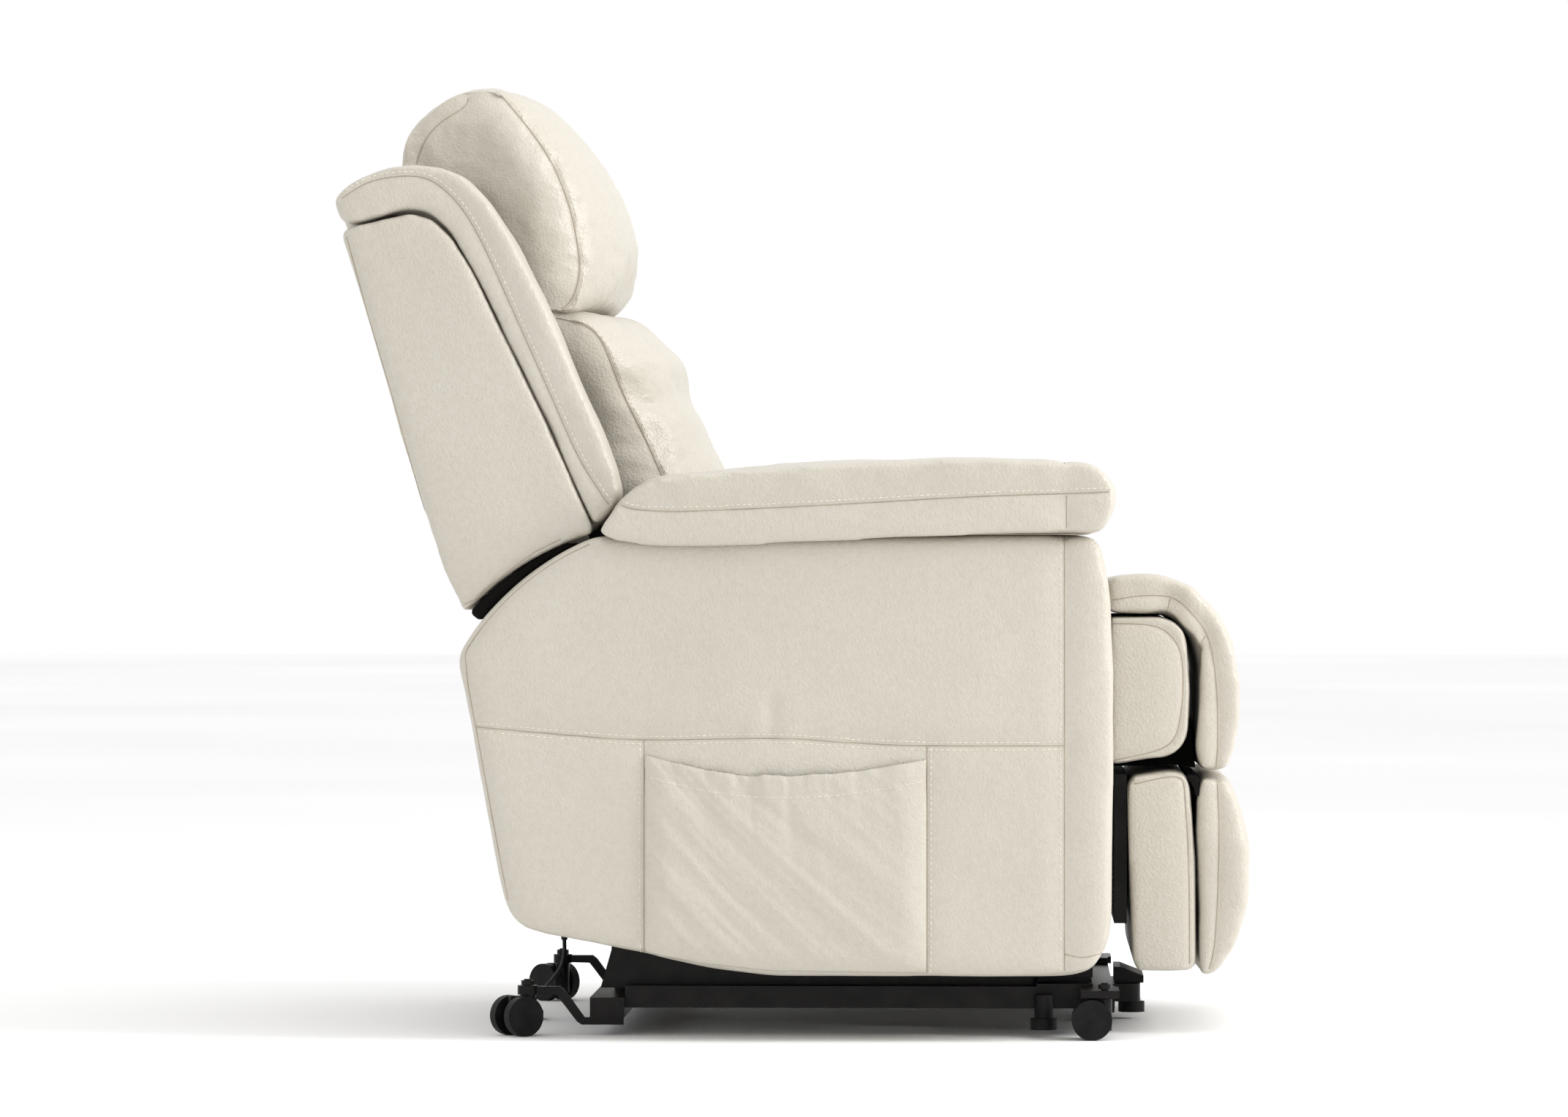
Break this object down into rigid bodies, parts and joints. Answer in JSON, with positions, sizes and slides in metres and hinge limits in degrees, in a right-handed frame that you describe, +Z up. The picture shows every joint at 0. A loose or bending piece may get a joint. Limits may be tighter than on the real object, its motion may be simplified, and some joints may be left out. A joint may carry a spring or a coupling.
{
  "type": "lift recliner chair",
  "caption": "Leather lift recliner on a castor base: the seat rises and tips forward, the back reclines and the legrest swings out on linkages.",
  "frame": {"origin": "centre of the chair's own box, on the floor, with the power lead and plug left out", "axes": "+X towards the front of the chair, +Z up, +Y to the sitter's left"},
  "size_m": [1, 0.84, 1.059],
  "materials": {
    "cream_leather": "semi-matt grained leather, cream",
    "black_steel": "satin black powder coat",
    "bright_steel": "satin zinc plate",
    "timber": "bare plywood",
    "black_fabric": "black woven dust cloth",
    "black_rubber": "matt black",
    "lead_sheath": "matt black sheath",
    "gloss_black": "gloss black",
    "black_plastic": "matt black moulding"
  },
  "bodies": {
    "base": {"base_rails": "black_steel", "base_crossbars": "black_steel", "lift_brackets": "black_steel", "base_pivot_bolts": "bright_steel", "castor_brackets": "black_steel", "levelling_feet": "black_rubber", "stabiliser_cover": "black_plastic", "power_supply": "black_plastic", "cable_gland": "lead_sheath", "power_lead": "lead_sheath", "power_lead_coil": "lead_sheath", "power_plug": "black_plastic"},
    "lift_arm": {"lift_arms": "black_steel"},
    "lift_link": {"lift_links": "black_steel"},
    "lift_motor": {"lift_actuator_body": "black_plastic"},
    "lift_rod": {"lift_actuator_rod": "bright_steel"},
    "chair": {"mechanism_side_plates": "black_steel", "chair_pivot_bolts": "bright_steel", "seat_deck_frame": "timber", "seat_springs": "bright_steel", "seat_cushion": "cream_leather", "chaise_bridge": "cream_leather", "seat_fascia": "cream_leather", "arm_right_shell": "cream_leather", "arm_left_shell": "cream_leather", "arm_frames": "timber", "arm_right_pad": "cream_leather", "arm_left_pad": "cream_leather", "side_pocket": "cream_leather", "control_panel": "gloss_black", "rear_panel": "cream_leather", "legrest_hinge_plates": "black_steel", "actuator_crosstubes": "black_steel"},
    "recline_switch": {"rocker_recline": "gloss_black"},
    "lift_switch": {"rocker_lift": "gloss_black"},
    "recline_motor": {"recline_actuator_body": "black_plastic"},
    "recline_rod": {"recline_actuator_rod": "bright_steel"},
    "legrest_motor": {"legrest_actuator_body": "black_plastic"},
    "legrest_rod": {"legrest_actuator_rod": "bright_steel"},
    "backrest": {"back_frame": "black_steel", "back_outer_shell": "cream_leather", "back_underside": "black_fabric", "back_wings": "cream_leather", "head_pillow": "cream_leather", "lumbar_pillow": "cream_leather"},
    "legrest": {"legrest_frame": "black_steel", "legrest_box": "cream_leather", "legrest_pad": "cream_leather"},
    "legrest_crank": {"legrest_cranks": "black_steel"},
    "legrest_idler": {"legrest_idlers": "black_steel"},
    "legrest_coupler_lower": {"legrest_couplers_lower": "black_steel"},
    "legrest_coupler_upper": {"legrest_couplers_upper": "black_steel"},
    "castor_rear_right_swivel": {"castor_rear_right_hood": "black_plastic"},
    "castor_rear_right_roll": {"castor_rear_right_wheels": "black_rubber"},
    "castor_rear_left_swivel": {"castor_rear_left_hood": "black_plastic"},
    "castor_rear_left_roll": {"castor_rear_left_wheels": "black_rubber"},
    "castor_front_right_swivel": {"castor_front_right_hood": "black_plastic"},
    "castor_front_right_roll": {"castor_front_right_wheels": "black_rubber"},
    "castor_front_left_swivel": {"castor_front_left_hood": "black_plastic"},
    "castor_front_left_roll": {"castor_front_left_wheels": "black_rubber"}
  },
  "joints": [
    {"name": "lift", "type": "hinge", "parent": "base", "child": "lift_arm", "pos_m": [0.215, 0, 0.12], "axis": [0, 1, 0], "range_deg": [0, 58.2]},
    {"name": "chair_tilt", "type": "hinge", "parent": "lift_arm", "child": "chair", "pos_m": [-0.183, 0, 0.11], "axis": [0, 1, 0], "range_deg": [-38.2, 0]},
    {"name": "lift_link_swing", "type": "hinge", "parent": "base", "child": "lift_link", "pos_m": [0.299, 0, 0.0845], "axis": [0, 1, 0], "range_deg": [0, 67]},
    {"name": "lift_motor_swing", "type": "hinge", "parent": "base", "child": "lift_motor", "pos_m": [-0.15, 0, 0.092], "axis": [0, -1, 0], "range_deg": [-1.2, 0]},
    {"name": "lift_rod_slide", "type": "slide", "parent": "lift_motor", "child": "lift_rod", "axis": [0.9666, 0, 0.2564], "range_m": [0, 0.0685]},
    {"name": "recline", "type": "hinge", "parent": "chair", "child": "backrest", "pos_m": [-0.104, 0, 0.273], "axis": [0, -1, 0], "range_deg": [0, 38]},
    {"name": "recline_motor_swing", "type": "hinge", "parent": "chair", "child": "recline_motor", "pos_m": [0.12, 0, 0.245], "axis": [0, -1, 0], "range_deg": [0, 4.3]},
    {"name": "recline_rod_slide", "type": "slide", "parent": "recline_motor", "child": "recline_rod", "axis": [-0.9969, 0, -0.0792], "range_m": [-0.0355, 0]},
    {"name": "legrest_raise", "type": "hinge", "parent": "chair", "child": "legrest", "pos_m": [0.464, 0, 0.446], "axis": [0, -1, 0], "range_deg": [0, 90]},
    {"name": "legrest_crank_swing", "type": "hinge", "parent": "chair", "child": "legrest_crank", "pos_m": [0.284, 0, 0.304], "axis": [0, -1, 0], "range_deg": [0, 90.5]},
    {"name": "legrest_idler_swing", "type": "hinge", "parent": "chair", "child": "legrest_idler", "pos_m": [0.329, 0, 0.3395], "axis": [0, -1, 0], "range_deg": [0, 90.5]},
    {"name": "legrest_coupler_lower_pivot", "type": "hinge", "parent": "legrest_crank", "child": "legrest_coupler_lower", "pos_m": [0.164, 0, 0.094], "axis": [0, -1, 0], "range_deg": [-90.5, 0]},
    {"name": "legrest_coupler_upper_pivot", "type": "hinge", "parent": "legrest_crank", "child": "legrest_coupler_upper", "pos_m": [0.164, 0, 0.134], "axis": [0, -1, 0], "range_deg": [-90.5, 0]},
    {"name": "legrest_motor_swing", "type": "hinge", "parent": "chair", "child": "legrest_motor", "pos_m": [-0.14, 0, 0.157], "axis": [0, -1, 0], "range_deg": [-0.8, 0]},
    {"name": "legrest_rod_slide", "type": "slide", "parent": "legrest_motor", "child": "legrest_rod", "axis": [0.9668, 0, 0.2554], "range_m": [0, 0.0645]},
    {"name": "recline_rocker", "type": "hinge", "parent": "chair", "child": "recline_switch", "pos_m": [0.165, -0.268, 0.507], "axis": [1, 0, 0], "range_deg": [-6, 6], "stiffness_Nm_per_rad": 0.3},
    {"name": "lift_rocker", "type": "hinge", "parent": "chair", "child": "lift_switch", "pos_m": [0.211, -0.268, 0.507], "axis": [1, 0, 0], "range_deg": [-6, 6], "stiffness_Nm_per_rad": 0.3},
    {"name": "castor_rear_right_swivel", "type": "hinge", "parent": "base", "child": "castor_rear_right_swivel", "pos_m": [-0.292, -0.3, 0.05], "axis": [0, 0, 1], "continuous": true},
    {"name": "castor_rear_right_roll", "type": "hinge", "parent": "castor_rear_right_swivel", "child": "castor_rear_right_roll", "pos_m": [-0.30347, -0.30803, 0.022], "axis": [0.5736, -0.8192, 0], "continuous": true},
    {"name": "castor_rear_left_swivel", "type": "hinge", "parent": "base", "child": "castor_rear_left_swivel", "pos_m": [-0.292, 0.3, 0.05], "axis": [0, 0, 1], "continuous": true},
    {"name": "castor_rear_left_roll", "type": "hinge", "parent": "castor_rear_left_swivel", "child": "castor_rear_left_roll", "pos_m": [-0.30273, 0.309, 0.022], "axis": [-0.6428, -0.766, 0], "continuous": true},
    {"name": "castor_front_right_swivel", "type": "hinge", "parent": "base", "child": "castor_front_right_swivel", "pos_m": [0.342, -0.35, 0.05], "axis": [0, 0, 1], "continuous": true},
    {"name": "castor_front_right_roll", "type": "hinge", "parent": "castor_front_right_swivel", "child": "castor_front_right_roll", "pos_m": [0.328, -0.35, 0.022], "axis": [0, -1, 0], "continuous": true},
    {"name": "castor_front_left_swivel", "type": "hinge", "parent": "base", "child": "castor_front_left_swivel", "pos_m": [0.342, 0.35, 0.05], "axis": [0, 0, 1], "continuous": true},
    {"name": "castor_front_left_roll", "type": "hinge", "parent": "castor_front_left_swivel", "child": "castor_front_left_roll", "pos_m": [0.32821, 0.35243, 0.022], "axis": [-0.1736, -0.9848, 0], "continuous": true}
  ],
  "couplings": [
    {"joint": "chair_tilt", "follows": "lift", "ratio": -0.6504},
    {"joint": "lift_link_swing", "follows": "lift", "ratio": 1.14},
    {"joint": "lift_motor_swing", "follows": "lift", "ratio": -0.01744},
    {"joint": "lift_rod_slide", "follows": "lift", "m_per_rad": 0.066919},
    {"joint": "recline_motor_swing", "follows": "recline", "ratio": 0.10794},
    {"joint": "recline_rod_slide", "follows": "recline", "m_per_rad": -0.052981},
    {"joint": "legrest_crank_swing", "follows": "legrest_raise", "ratio": 1},
    {"joint": "legrest_idler_swing", "follows": "legrest_raise", "ratio": 1},
    {"joint": "legrest_coupler_lower_pivot", "follows": "legrest_raise", "ratio": -1},
    {"joint": "legrest_coupler_upper_pivot", "follows": "legrest_raise", "ratio": -1},
    {"joint": "legrest_motor_swing", "follows": "legrest_raise", "ratio": -0.006688},
    {"joint": "legrest_rod_slide", "follows": "legrest_raise", "m_per_rad": 0.040573}
  ]
}
